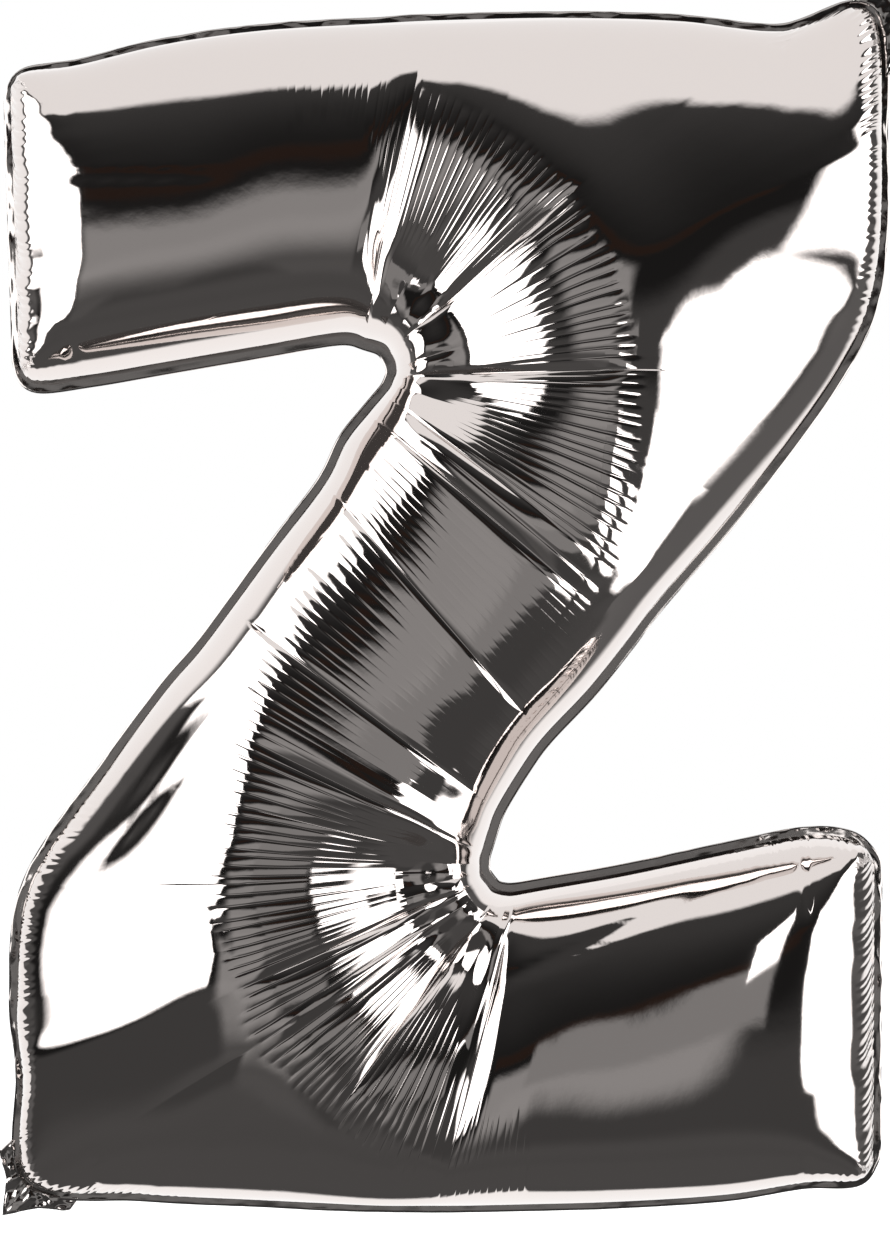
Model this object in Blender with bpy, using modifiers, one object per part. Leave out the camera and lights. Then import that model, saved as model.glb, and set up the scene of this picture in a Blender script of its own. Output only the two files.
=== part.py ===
"""Letter foil balloon: an inflated Z of mirror film, 0.86 m tall.

Two film panels, front and back, meet at a flat seam plane at Y = 0 and hold a flat seam
flange between their rims. The letter stands upright: +X is its right, +Z is up and it is
read from -Y. The origin is the middle of the letter on the seam plane. Units are metres,
and MM turns the millimetres of the tables into metres.
"""

import math

import bmesh
import bpy
from mathutils import Vector

MM = 0.001

# Driving sizes, in millimetres
WALL = 10.0
FLANGE_THICK = 1.2
FLANGE_SHOWN = 6.5
FLANGE_HELD = 7.5
GAP = 0.3
VALVE_THICK = 1.0
SLAB_DEPTH = 300.0
SECTION_STEPS = 8

# A fan's crest stands this far from its inner corner, and a bar's stands in its middle.
UPPER_CREST = 152.0
LOWER_CREST = 168.0
INNER_ROUNDNESS = 1.7
CREASE_HOLD = 0.75
OUTLINE_SPACING = 14.0
OUTLINE_RESOLUTION = 2

# Stations from the top bar's free end to the bottom bar's free end. Each is one line across
# the stroke, from its left or lower seam point to its right or upper one, with the half depth
# at its crest. Roundness is that of its outer side: 2 is an ellipse, more is boxier and less is
# more pointed. A crease is a valley that pulls the film in.
# columns: left x, left z, right x, right z, half depth, roundness, section, is a crease
STATIONS = (
    # top bar, from its end seam
    (-303, 175, -309, 363, 0, 2.6, "bar", False),
    (-293, 159, -299, 379, 86, 2.6, "bar", False),
    (-253, 163, -261, 385, 101, 2.6, "bar", False),
    (-200, 172, -200, 400, 103, 2.6, "bar", False),
    (-130, 184, -130, 410, 106, 2.6, "bar", False),
    (-75, 193, -46, 415, 112, 2.6, "bar", False),
    (-56, 189, -9, 417, 107, 2.6, "bar", True),
    # fan round the upper inner corner
    (-46, 186, 80, 419, 122, 2.0, "upper", False),
    (-42, 183, 165, 417, 128, 1.9, "upper", False),
    (-39, 178, 239, 410, 127, 1.7, "upper", True),
    (-37, 174, 303, 424, 133, 1.7, "upper", False),
    (-36, 169, 310, 330, 134, 2.0, "upper", False),
    (-36, 165, 306, 230, 133, 1.8, "upper", False),
    (-38, 161, 279, 166, 124, 1.4, "upper", True),
    (-40, 156, 211, 73, 123, 1.8, "upper", False),
    # diagonal
    (-45, 150, 150, 1, 116, 2.6, "bar", True),
    (-56, 137, 131, -24, 116, 2.6, "bar", True),
    (-71, 118, 103, -59, 119, 2.6, "bar", False),
    (-86, 88, 71, -93, 115, 2.6, "bar", True),
    (-121, 42, 55, -115, 119, 2.6, "bar", False),
    (-151, 1, 38, -143, 116, 2.6, "bar", True),
    (-175, -31, 32, -159, 121, 2.6, "bar", False),
    (-200, -60, 28, -172, 117, 2.6, "bar", True),
    # fan round the lower inner corner
    (-239, -113, 26, -178, 124, 1.5, "lower", False),
    (-296, -198, 26, -184, 128, 1.6, "lower", False),
    (-305, -280, 26, -188, 130, 1.7, "lower", False),
    (-300, -330, 27, -191, 127, 1.9, "lower", True),
    (-296, -408, 31, -196, 129, 1.8, "lower", False),
    (-215, -418, 34, -200, 126, 1.6, "lower", False),
    (-134, -422, 38, -202, 115, 1.8, "lower", True),
    (-71, -425, 43, -203, 112, 2.0, "lower", False),
    # bottom bar, to its end seam
    (-8, -426, 50, -203, 103, 2.6, "bar", True),
    (54, -425, 73, -199, 111, 2.6, "bar", False),
    (125, -423, 130, -189, 107, 2.6, "bar", False),
    (200, -418, 205, -173, 106, 2.6, "bar", False),
    (257, -409, 257, -163, 102, 2.6, "bar", False),
    (293, -408, 290, -166, 92, 2.6, "bar", False),
    (305, -393, 306, -182, 0, 2.6, "bar", False),
)

# Flat pieces that stand out from the seam, each an outline in X and Z on the seam plane.
TAB_TOP_RIGHT = ((280, 416), (298, 445), (318, 442), (328, 426), (331, 396), (310, 376))
TAB_BOTTOM_LEFT = ((-262, -410), (-268, -431), (-290, -429), (-316, -434), (-313, -408), (-318, -388), (-300, -380))
VALVE_WIDTH = 22.0
VALVE_ROOT = (326, 420)
VALVE_TIP = (366, 450)

# columns: red, green, blue, roughness, metallic
FILM = (0.80, 0.77, 0.75, 0.06, 1.0)
FLANGE_FILM = (0.55, 0.53, 0.52, 0.22, 1.0)
VALVE_FILM = (0.72, 0.70, 0.69, 0.30, 0.9)


def clear_scene():
    for obj in list(bpy.data.objects):
        bpy.data.objects.remove(obj)


def new_collection(name):
    collection = bpy.data.collections.new(name)
    bpy.context.scene.collection.children.link(collection)
    return collection


def new_material(name, finish):
    red, green, blue, roughness, metallic = finish
    material = bpy.data.materials.new(name)
    material.use_nodes = True
    shader = material.node_tree.nodes["Principled BSDF"]
    shader.inputs["Base Color"].default_value = (red, green, blue, 1)
    shader.inputs["Roughness"].default_value = roughness
    shader.inputs["Metallic"].default_value = metallic
    return material


def add_object(name, data, collection):
    obj = bpy.data.objects.new(name, data)
    collection.objects.link(obj)
    return obj


def as_cutter(obj):
    obj.hide_render = True
    obj.display_type = "WIRE"
    return obj


def as_mesh(curve_obj, collection):
    """The curve object remade as a mesh object of the same name, its caps welded to its sides."""
    bpy.context.view_layer.update()
    graph = bpy.context.evaluated_depsgraph_get()
    mesh = bpy.data.meshes.new_from_object(curve_obj.evaluated_get(graph))
    work = bmesh.new()
    work.from_mesh(mesh)
    bmesh.ops.remove_doubles(work, verts=work.verts, dist=1e-6)
    work.to_mesh(mesh)
    work.free()
    name, place = curve_obj.name, curve_obj.matrix_world.copy()
    bpy.data.objects.remove(curve_obj)
    obj = add_object(name, mesh, collection)
    obj.matrix_world = place
    return obj


def add_boolean(obj, operation, cutter):
    modifier = obj.modifiers.new(operation.title(), "BOOLEAN")
    modifier.operation = operation
    modifier.object = cutter
    modifier.solver = "EXACT"


def crest_and_roundness(station):
    """Where a station's crest stands, as a share of its width, and how round its two sides are."""
    width = math.dist(station[0:2], station[2:4])
    roundness, section = station[5:7]
    if section == "upper":
        return UPPER_CREST / width, INNER_ROUNDNESS, roundness
    if section == "lower":
        return 1 - LOWER_CREST / width, roundness, INNER_ROUNDNESS
    return 0.5, roundness, roundness


def section_point(station, step):
    """A point of the film across one station, which stands on the seam plane like half an oval."""
    left_x, left_z, right_x, right_z, depth = station[0:5]
    crest, left_roundness, right_roundness = crest_and_roundness(station)
    from_crest = -math.cos(math.pi * step / SECTION_STEPS)
    side, roundness = (crest, left_roundness) if from_crest < 0 else (1 - crest, right_roundness)
    share = crest + side * from_crest
    rise = (1 - abs(from_crest) ** roundness) ** (1 / roundness)
    x = left_x + (right_x - left_x) * share
    z = left_z + (right_z - left_z) * share
    return x * MM, z * MM, depth * rise * MM


def panel_cage(name, side):
    """The open cage of one panel. Side is -1 for the front and +1 for the back."""
    work = bmesh.new()
    crease = work.edges.layers.float.new("crease_edge")
    rows = []
    for station in STATIONS:
        points = (section_point(station, step) for step in range(SECTION_STEPS + 1))
        rows.append([work.verts.new((x, side * bulge, z)) for x, z, bulge in points])
    for row, following in zip(rows, rows[1:]):
        for step in range(SECTION_STEPS):
            corners = [row[step], row[step + 1], following[step + 1], following[step]]
            work.faces.new(corners if side > 0 else corners[::-1])
    for row, station in zip(rows, STATIONS):
        if station[7]:
            for start, end in zip(row, row[1:]):
                work.edges.get((start, end))[crease] = CREASE_HOLD
    mesh = bpy.data.meshes.new(name)
    work.to_mesh(mesh)
    work.free()
    return mesh


def seam_slab(name, side, collection):
    """A block over one side of the seam plane, kept half the flange and a gap away from it."""
    near = (FLANGE_THICK / 2 + GAP) * MM
    far = SLAB_DEPTH * MM
    work = bmesh.new()
    bmesh.ops.create_cube(work, size=1.0)
    bmesh.ops.scale(work, vec=(1.2, far - near, 1.2), verts=work.verts)
    bmesh.ops.translate(work, vec=(0, side * (far + near) / 2, 0), verts=work.verts)
    mesh = bpy.data.meshes.new(name)
    work.to_mesh(mesh)
    work.free()
    return as_cutter(add_object(name, mesh, collection))


def make_panel(name, side, parts, cutters, material):
    panel = add_object(name, panel_cage(name, side), parts)
    panel.data.materials.append(material)
    smooth = panel.modifiers.new("Rounding", "SUBSURF")
    smooth.levels = 1
    smooth.render_levels = 1
    wall = panel.modifiers.new("Wall", "SOLIDIFY")
    wall.thickness = WALL * MM
    wall.offset = -1
    add_boolean(panel, "INTERSECT", seam_slab(name + "_slab", side, cutters))
    panel.data.shade_smooth()
    return panel


def seam_line():
    """The seam's points in order round the letter, thinned to OUTLINE_SPACING."""
    right = [Vector(station[2:4]) for station in STATIONS]
    left = [Vector(station[0:2]) for station in reversed(STATIONS)]
    kept = []
    for point in right + left:
        if not kept or (point - kept[-1]).length > OUTLINE_SPACING:
            kept.append(point)
    return kept


def offset_line(points, distance):
    """The closed line moved outwards by distance, each point along its own bisector."""
    moved = []
    for index, point in enumerate(points):
        before = (point - points[index - 1]).normalized()
        after = (points[(index + 1) % len(points)] - point).normalized()
        outward = Vector((-(before.y + after.y), before.x + after.x)).normalized()
        moved.append(point + outward * distance)
    return moved


def outline_curve(name, outlines, thick, collection, smooth=True):
    """A flat filled curve on the seam plane. Each outline after the first is a hole in it."""
    curve = bpy.data.curves.new(name, "CURVE")
    curve.dimensions = "2D"
    curve.fill_mode = "BOTH"
    curve.extrude = thick * MM / 2
    for points in outlines:
        spline = curve.splines.new("NURBS" if smooth else "POLY")
        spline.points.add(len(points) - 1)
        for place, (x, z) in zip(spline.points, points):
            place.co = (x * MM, z * MM, 0, 1)
        spline.use_cyclic_u = True
        if smooth:
            spline.order_u = 4
            spline.resolution_u = OUTLINE_RESOLUTION
    obj = add_object(name, curve, collection)
    obj.rotation_euler = (math.pi / 2, 0, 0)
    return obj


def make_flange(parts, material):
    seam = seam_line()
    outlines = (offset_line(seam, FLANGE_SHOWN), offset_line(seam, -FLANGE_HELD))
    flange = as_mesh(outline_curve("seam_flange", outlines, FLANGE_THICK, parts), parts)
    flange.data.materials.append(material)
    return flange


def make_flat_piece(name, points, thick, cutter, parts, material):
    """A flat piece whose inner edge follows the flange, a gap away from it."""
    piece = as_mesh(outline_curve(name, (points,), thick, parts, smooth=False), parts)
    piece.data.materials.append(material)
    add_boolean(piece, "DIFFERENCE", cutter)
    return piece


def valve_outline():
    root, tip = Vector(VALVE_ROOT), Vector(VALVE_TIP)
    along = (tip - root).normalized()
    across = Vector((-along.y, along.x)) * VALVE_WIDTH / 2
    return [root - across, tip - across, tip + across, root + across]


def make_balloon():
    clear_scene()
    parts = new_collection("Letter foil balloon")
    cutters = new_collection("Cutters")
    film = new_material("mirror_film", FILM)
    flange_film = new_material("flange_film", FLANGE_FILM)
    valve_film = new_material("valve_film", VALVE_FILM)

    make_panel("front_panel", -1, parts, cutters, film)
    make_panel("back_panel", 1, parts, cutters, film)
    make_flange(parts, flange_film)

    grown = offset_line(seam_line(), FLANGE_SHOWN + GAP)
    beside_flange = as_cutter(as_mesh(outline_curve("flange_clearance", (grown,), 20, cutters), cutters))
    make_flat_piece("corner_tab_top_right", TAB_TOP_RIGHT, FLANGE_THICK, beside_flange, parts, flange_film)
    make_flat_piece("corner_tab_bottom_left", TAB_BOTTOM_LEFT, FLANGE_THICK, beside_flange, parts, flange_film)
    grown_tab = offset_line([Vector(point) for point in TAB_TOP_RIGHT], GAP)
    beside_tab = as_cutter(
        as_mesh(outline_curve("tab_clearance", (grown_tab,), 20, cutters, smooth=False), cutters)
    )
    make_flat_piece("filling_valve", valve_outline(), VALVE_THICK, beside_tab, parts, valve_film)


make_balloon()
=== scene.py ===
import math

import bmesh
import bpy
import numpy as np
from bpy.props import FloatProperty, FloatVectorProperty, PointerProperty
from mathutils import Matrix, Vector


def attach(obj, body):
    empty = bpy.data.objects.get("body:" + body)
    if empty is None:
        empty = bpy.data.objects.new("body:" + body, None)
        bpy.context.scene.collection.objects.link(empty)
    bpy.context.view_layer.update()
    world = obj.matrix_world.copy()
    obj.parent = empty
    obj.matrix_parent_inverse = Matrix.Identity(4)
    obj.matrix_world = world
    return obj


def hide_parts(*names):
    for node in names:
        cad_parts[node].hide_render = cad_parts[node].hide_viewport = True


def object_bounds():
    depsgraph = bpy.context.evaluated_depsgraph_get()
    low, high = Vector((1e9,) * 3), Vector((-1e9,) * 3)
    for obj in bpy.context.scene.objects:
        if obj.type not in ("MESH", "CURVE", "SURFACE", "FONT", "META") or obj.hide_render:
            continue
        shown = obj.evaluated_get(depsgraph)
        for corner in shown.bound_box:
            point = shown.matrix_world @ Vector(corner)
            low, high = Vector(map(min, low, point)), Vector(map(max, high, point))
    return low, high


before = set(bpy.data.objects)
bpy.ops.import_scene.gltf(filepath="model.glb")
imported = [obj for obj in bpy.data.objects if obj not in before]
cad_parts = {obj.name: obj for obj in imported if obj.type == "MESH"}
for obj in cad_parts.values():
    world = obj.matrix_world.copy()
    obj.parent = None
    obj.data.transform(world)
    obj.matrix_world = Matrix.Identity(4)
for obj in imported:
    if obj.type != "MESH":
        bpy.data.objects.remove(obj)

bl_info = {
    "name": "Letter foil balloon",
    "version": (1, 0, 0),
    "blender": (4, 5, 0),
    "location": "3D View > Sidebar > Foil balloon",
    "description": "Builds a mirror film letter balloon with its pleats, seam flange, tabs and studio",
    "category": "Object",
}

MM = 0.001
BODY = "root"
CAD_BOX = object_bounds()

# The photo's scale at the seam plane, its height, and the row that the letter's origin lies on.
PIXEL = 0.7137 * MM
FRAME_HEIGHT = 1239
ORIGIN_ROW = 607

# Stations from the top bar's free end to the bottom bar's free end, in millimetres on the seam
# plane. Each is a line across the stroke from its left or lower seam point to its right or upper
# one. The pleats of the stretch to the next station lie between two distances from the first
# point and fade over a length of their own at either end.
# columns: left x, left z, right x, right z, pleats to the next, from, fade, to, fade
STATIONS = (
    # top bar, from its end seam
    (-303, 175, -309, 363, 0, 150, 20, 186, 20),
    (-293, 159, -299, 379, 0, 150, 20, 186, 20),
    (-253, 163, -261, 385, 0, 150, 20, 186, 20),
    (-200, 172, -200, 400, 0, 150, 20, 190, 20),
    (-130, 184, -130, 410, 15, 146, 15, 190, 18),
    (-75, 193, -46, 415, 6, 130, 20, 186, 16),
    (-56, 189, -9, 417, 10, 60, 25, 180, 8),
    # fan round the upper inner corner
    (-46, 186, 80, 419, 7, 40, 60, 168, 9),
    (-42, 183, 165, 417, 5, 40, 60, 167, 9),
    (-39, 178, 239, 410, 2, 40, 60, 167, 9),
    (-37, 174, 303, 424, 4, 40, 75, 167, 9),
    (-36, 169, 310, 330, 6, 40, 75, 167, 9),
    (-36, 165, 306, 230, 4, 40, 75, 167, 9),
    (-38, 161, 279, 166, 9, 38, 75, 168, 9),
    (-40, 156, 211, 73, 9, 36, 70, 180, 9),
    (-45, 150, 150, 1, 2, 30, 20, 205, 8),
    (-56, 137, 131, -24, 6, 20, 10, 209, 8),
    # diagonal
    (-71, 118, 103, -59, 7, 23, 11, 218, 9),
    (-86, 88, 71, -93, 7, 27, 12, 222, 10),
    (-121, 42, 55, -115, 7, 29, 12, 220, 10),
    (-151, 1, 38, -143, 5, 38, 10, 216, 14),
    (-175, -31, 32, -159, 5, 46, 6, 205, 20),
    (-200, -60, 28, -172, 6, 60, 5, 208, 25),
    # fan round the lower inner corner
    (-239, -113, 26, -178, 8, 87, 9, 233, 65),
    (-296, -198, 26, -184, 6, 136, 9, 282, 70),
    (-305, -280, 26, -188, 4, 159, 9, 304, 70),
    (-300, -330, 27, -191, 5, 170, 9, 315, 70),
    (-296, -408, 31, -196, 4, 202, 9, 350, 70),
    (-215, -418, 34, -200, 6, 142, 9, 291, 70),
    (-134, -422, 38, -202, 6, 88, 8, 239, 70),
    (-71, -425, 43, -203, 7, 54, 7, 210, 65),
    (-8, -426, 50, -203, 12, 14, 8, 100, 25),
    # bottom bar, to its end seam
    (54, -425, 73, -199, 0, 8, 8, 80, 20),
    (125, -423, 130, -189, 0, 8, 8, 60, 20),
    (200, -418, 205, -173, 0, 8, 8, 60, 20),
    (257, -409, 257, -163, 0, 8, 8, 60, 20),
    (293, -408, 290, -166, 0, 8, 8, 60, 20),
    (305, -393, 306, -182, 0, 8, 8, 60, 20),
)
LEFT, RIGHT, PLEATS, PLEAT_ZONE = slice(0, 2), slice(2, 4), 4, slice(5, 9)
# The stations before this one lie round the upper inner corner, and the others round the lower one.
MIDDLE_STATION = 19

# Stretches by station: where each starts, is full, begins to fade and is gone.
UPPER_FAN = (5, 8, 13, 15.5)
LOWER_FAN = (21.5, 24, 29, 32)
DIAGONAL = (15.5, 16.5, 21.5, 22.5)
CONES = (11.0, 12.8, 24.2, 26.0)
GATHERED_BAND = (6, 7.5, 30.5, 32)
TOP_CORNER = (9.4, 10.2, 12.0, 13.2)
BOTTOM_CORNER = (23.0, 24.4, 26.8, 27.8)

# Valleys that cross the film along a station. A wide one opens with the distance from its root
# at an inner corner, and a plain one, without a root, keeps its width.
# columns: station, root side, depth, half width, shallow from, gone at
CREASES = (
    (6, "left", 5.0, 18.0, 150.0, 226.0),
    (9, "left", 4.0, 14.0, 135.0, 182.0),
    (13, "left", 4.0, 14.0, 130.0, 168.0),
    (15, "left", 2.0, 8.0, 100.0, 150.0),
    (16, "left", 2.5, 8.0, 130.0, 205.0),
    (18, "none", 0.9, 4.5, 190.0, 226.0),
    (20, "none", 1.0, 4.5, 190.0, 228.0),
    (22, "right", 2.5, 9.0, 130.0, 186.0),
    (26, "right", 4.0, 14.0, 130.0, 182.0),
    (29, "right", 4.0, 13.0, 130.0, 182.0),
    (31, "right", 4.5, 16.0, 150.0, 224.0),
)
# How far from its root a wide crease has its half width, and how far its depth.
CREASE_REACH = 107.0
CREASE_RISE = 70.0
NARROWEST_CREASE = 2.5
# A plain crease deepens between these distances from the first seam.
PLAIN_CREASE_RISE = (8, 30)

# How strongly the film is gathered into small teeth at the seam, by station along either seam.
LEFT_TEETH = (
    (0, 0.5), (1.2, 0.4), (2.2, 0), (22.8, 0), (23.8, 1), (27.5, 1), (28.5, 0.1), (34, 0.03), (35.5, 0.7),
    (37, 0.7),
)
RIGHT_TEETH = (
    (0, 0.5), (1.5, 0.3), (2.5, 0), (9, 0.05), (9.8, 1.2), (10.2, 2), (10.9, 1.6), (11.4, 0.9), (12, 1),
    (12.8, 0.03), (33, 0), (34.5, 0.6), (37, 0.7),
)

# The lengths along the right seam and the end seams start from here, so that their teeth differ.
RIGHT_SEAM_START = 1e4
END_SEAM_START = 2e4

# How far each stroke's crest lies from its middle towards the right or upper seam, by station.
CREST_SHIFT = (
    (0, 0), (2, -20), (3.2, -20), (4.4, 2), (5.7, 22), (7.5, 0), (15.5, 0), (17, 6), (18.5, 0), (20, -22),
    (21, -26), (22.5, 0), (29.5, 0), (31.5, -48), (32.7, -30), (34.2, -6), (36, 0),
)

# Straight pinches and soft folds off the stations. A minus depth stands out.
# columns: from x, from z, to x, to z, depth, half width
FOLDS = (
    # pinches at the corners of the bars
    (-268, 390, -266, 343, 2.0, 6.0),
    (239, 420, 240, 358, 2.0, 6.0),
    (250, -168, 252, -216, 2.0, 6.0),
    (253, -420, 252, -378, 1.8, 6.0),
    (-246, -424, -248, -380, 1.8, 6.0),
    (-268, 194, -256, 162, 2.4, 7.0),
    # a ripple along the top bar and a tuck beside the diagonal
    (-306, 299, -139, 299, 0.7, 5.0),
    (20, -268, 182, -198, 1.5, 11.0),
    (108, -2, 142, 33, -1.6, 9.0),
    # long soft folds down the diagonal's left edge
    (-139, -38, -239, -159, 1.6, 20.0),
    (-133, -66, -257, -195, 1.8, 18.0),
)
# The share of its length over which a fold fades at either end.
FOLD_FADE = 0.3

# Where a pleat's rows lie in it, closest together at its valleys.
PLEAT_ROWS = (0.0, 0.1, 0.22, 0.5, 0.78, 0.9)
# How far a valley strays from its even place, in pleats, and how flat a pleat's top is.
PLEAT_JITTER = 0.22
PLEAT_SHAPE = 8.0
VALLEY_SEED = 12
# A pleat's height follows its width, up to this one.
WIDEST_PLEAT = 14.0
# The pleats' heights vary between two shares, and their ends stray more where they fade over a long way.
PLEAT_HEIGHTS = (0.65, 1.25)
LONG_STRAY = (-3, 16)
SHORT_STRAY = (-4, 3)
LONG_FADE = 10
# The first pleats grow between these two stations.
PLEATS_START = (4.0, 4.6)
# On the diagonal the pleats calm down in two steps from their left ends. Near their right ends they are
# calm too, but for the tips.
CALM = 0.45
CALM_STEPS = ((8, 34), (34, 75))
CALM_RIGHT = (50, 80)
CALM_TIP = (3, 9)

# The film's rows where it has no pleats, its columns, and the grid that its even height is solved on.
PLAIN_SPACING = 3.4
PLAIN_ROWS = 5
END_ROWS = 12
COLUMNS = 80
SOLVER_ROWS = 8
SOLVER_COLUMNS = 48
SOLVER_STEPS = 4000
SOLVER_GOAL = 1e-16
# The columns' spacing at a seam and at a pleat's tip, and how it grows with the distance from either.
SEAM_SPACING, SEAM_GROWTH, WIDEST_SPACING = 0.7, 0.09, 4.2
TIP_SPACING, TIP_GROWTH = 1.9, 0.16
SPACING_SAMPLES = 401

# How full the strokes' shoulders are: 2 is a plain round section.
SHOULDERS = 2.3
# The bars' ends: how far their seams hold the film down, the length of the facet that slopes down to the
# top bar's and to the bottom bar's, and how round it is and how sharply it meets the sides.
END_REACH = 40.0
END_SLACK = 72.0
END_LENGTHS = (78.0, 140.0)
END_ROUND = 2.3
END_FACETS = 6.0
# How much steeper the film rises at the diagonal's outer corners, and how far in.
CORNER_SWELL = 0.65
CORNER_REACH = 16.0
# The fans' own section: its crest lies so far inside the pleats' outer tips, and sets in over a distance
# from the inner corner. It is rounder towards the corner, and straighter outwards.
FAN_FULLNESS = 0.9
FAN_CREST = 22.0
FAN_ROOT = (10.0, 65.0)
FAN_INNER = 1.8
FAN_OUTER = 1.35
FAN_CONE = 0.8
# How far the ridge at the pleats' outer tips runs out, and how softly the gathered band begins and ends.
RIDGE_REACH = 52.0
CUFF_FADE = 14.0
# Broad flutes round the inner corners, each turning through so many degrees.
FLUTE_TURN = 19.0
FLUTE_WANDER = 0.35
FLUTE_WANDER_TURN = 31.0
FLUTE_HEIGHT = 1.3
FLUTE_ZONE = (4, 22, 26, 58)
FLUTE_SEED = 17
# Puckers at the long seams and at the end seams: two wave lengths, reach, start and height.
SIDE_PUCKERS = ((11.0, 24.0), 16.0, 7, 0.6)
END_PUCKERS = ((9.0, 21.0), 22.0, 6, 1.6)
PUCKER_SEED = 40
# The film starts at its seam without pleats or creases, which grow over this distance and this share.
SEAM_HOLD = 14
END_HOLD = 0.1


def smoothstep(low, high, value):
    """A smooth rise from 0 at the low value to 1 at the high one."""
    share = np.clip((value - low) / (high - low), 0, 1)
    return share * share * (3 - 2 * share)


def station_table():
    """The stations as one array."""
    return np.array(STATIONS, float)


def stretch_share(places, stretch):
    """1 within a stretch and 0 outside it."""
    start, full, fading, gone = stretch
    return smoothstep(start, full, places) * (1 - smoothstep(fading, gone, places))


def run_lengths(line):
    """How far along a polyline each of its points lies."""
    return np.concatenate([[0], np.cumsum(np.linalg.norm(np.diff(line, axis=0), axis=1))])


def through_points(points, places):
    """A smooth curve through evenly numbered points, read at fractional places."""
    points = np.concatenate([[2 * points[0] - points[1]], points, [2 * points[-1] - points[-2]]])
    first = np.clip(np.floor(places).astype(int), 0, len(points) - 4)
    t = (places - first)[:, None]
    a, b, c, d = (points[first + k] for k in range(4))
    return 0.5 * (2 * b + (c - a) * t + (2 * a - 5 * b + 4 * c - d) * t**2 + (3 * b - a - 3 * c + d) * t**3)


def between_points(values, places):
    """Straight lines between evenly numbered values, read at fractional places."""
    numbers = np.arange(len(values))
    return np.stack([np.interp(places, numbers, column) for column in values.T], axis=1)


def row_places():
    """Where the film's rows lie, as fractional stations, and the pleat count at each row."""
    stations = station_table()
    draw = np.random.default_rng(VALLEY_SEED)
    places, counts, count = [], [], 0
    last = len(stations) - 2
    for index in range(last + 1):
        pleats = int(stations[index, PLEATS])
        if pleats:
            rising = (np.arange(pleats)[:, None] + np.array(PLEAT_ROWS)).ravel()
            valleys = np.arange(pleats + 1) + draw.uniform(-PLEAT_JITTER, PLEAT_JITTER, pleats + 1)
            valleys[0], valleys[-1] = 0, pleats
            shares = np.interp(rising, np.arange(pleats + 1), valleys) / pleats
        else:
            across = stations[index + 1] - stations[index]
            longer = max(np.linalg.norm(across[LEFT]), np.linalg.norm(across[RIGHT]))
            steps = max(END_ROWS if index in (0, last) else PLAIN_ROWS, int(longer / PLAIN_SPACING))
            shares = np.arange(steps) / steps
            if index == 0:
                shares = shares**2
            if index == last:
                shares = 1 - (1 - shares)**2
            rising = shares * 0
        places.append(index + shares)
        counts.append(count + rising)
        count += pleats
    places.append([last + 1.0])
    counts.append([count])
    return np.concatenate(places), np.concatenate(counts)


def seam_points(places):
    """The left and the right seam's points at fractional stations."""
    stations = station_table()
    return through_points(stations[:, LEFT], places), through_points(stations[:, RIGHT], places)


def end_distance(left, right):
    """How far each row lies from the nearer end seam."""
    along = run_lengths((left + right) / 2)
    return np.minimum(along, along[-1] - along)


def end_shares(left, right):
    """How far each row is from the two end seams: 0 on a seam, near 1 far from both."""
    along = run_lengths((left + right) / 2)
    back = along[-1] - along
    return along / (along + END_REACH) * back / (back + END_REACH)


# The four corners of every cell of a grid, in turn round the cell.
CELL_CORNERS = (np.s_[:-1, :-1], np.s_[1:, :-1], np.s_[1:, 1:], np.s_[:-1, 1:])


def cot_weights(points):
    """Half cotangent weights of a structured grid: along rows, along columns, two diagonals, and areas."""
    a, b, c, d = (points[corner] for corner in CELL_CORNERS)
    rows, columns = points.shape[:2]
    down = np.zeros((rows - 1, columns))
    across = np.zeros((rows, columns - 1))
    rising = np.zeros((rows - 1, columns - 1))
    falling = np.zeros((rows - 1, columns - 1))
    area = np.zeros((rows, columns))

    def cot(apex, one, other):
        u, v = one - apex, other - apex
        cross = np.abs(u[..., 0] * v[..., 1] - u[..., 1] * v[..., 0]) + 1e-9
        return (u * v).sum(-1) / cross / 4, cross / 24

    for corners in ((0, 1, 2), (0, 2, 3), (0, 1, 3), (1, 2, 3)):
        _, share = cot(*((a, b, c, d)[k] for k in corners))
        for k in corners:
            area[CELL_CORNERS[k]] += share * 2
    rising += cot(b, a, c)[0] + cot(d, a, c)[0]
    falling += cot(a, b, d)[0] + cot(c, b, d)[0]
    down[:, :-1] += cot(c, a, b)[0] + cot(d, a, b)[0]
    down[:, 1:] += cot(a, c, d)[0] + cot(b, c, d)[0]
    across[:-1] += cot(b, a, d)[0] + cot(c, a, d)[0]
    across[1:] += cot(a, b, c)[0] + cot(d, b, c)[0]
    return down, across, rising, falling, area


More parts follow.
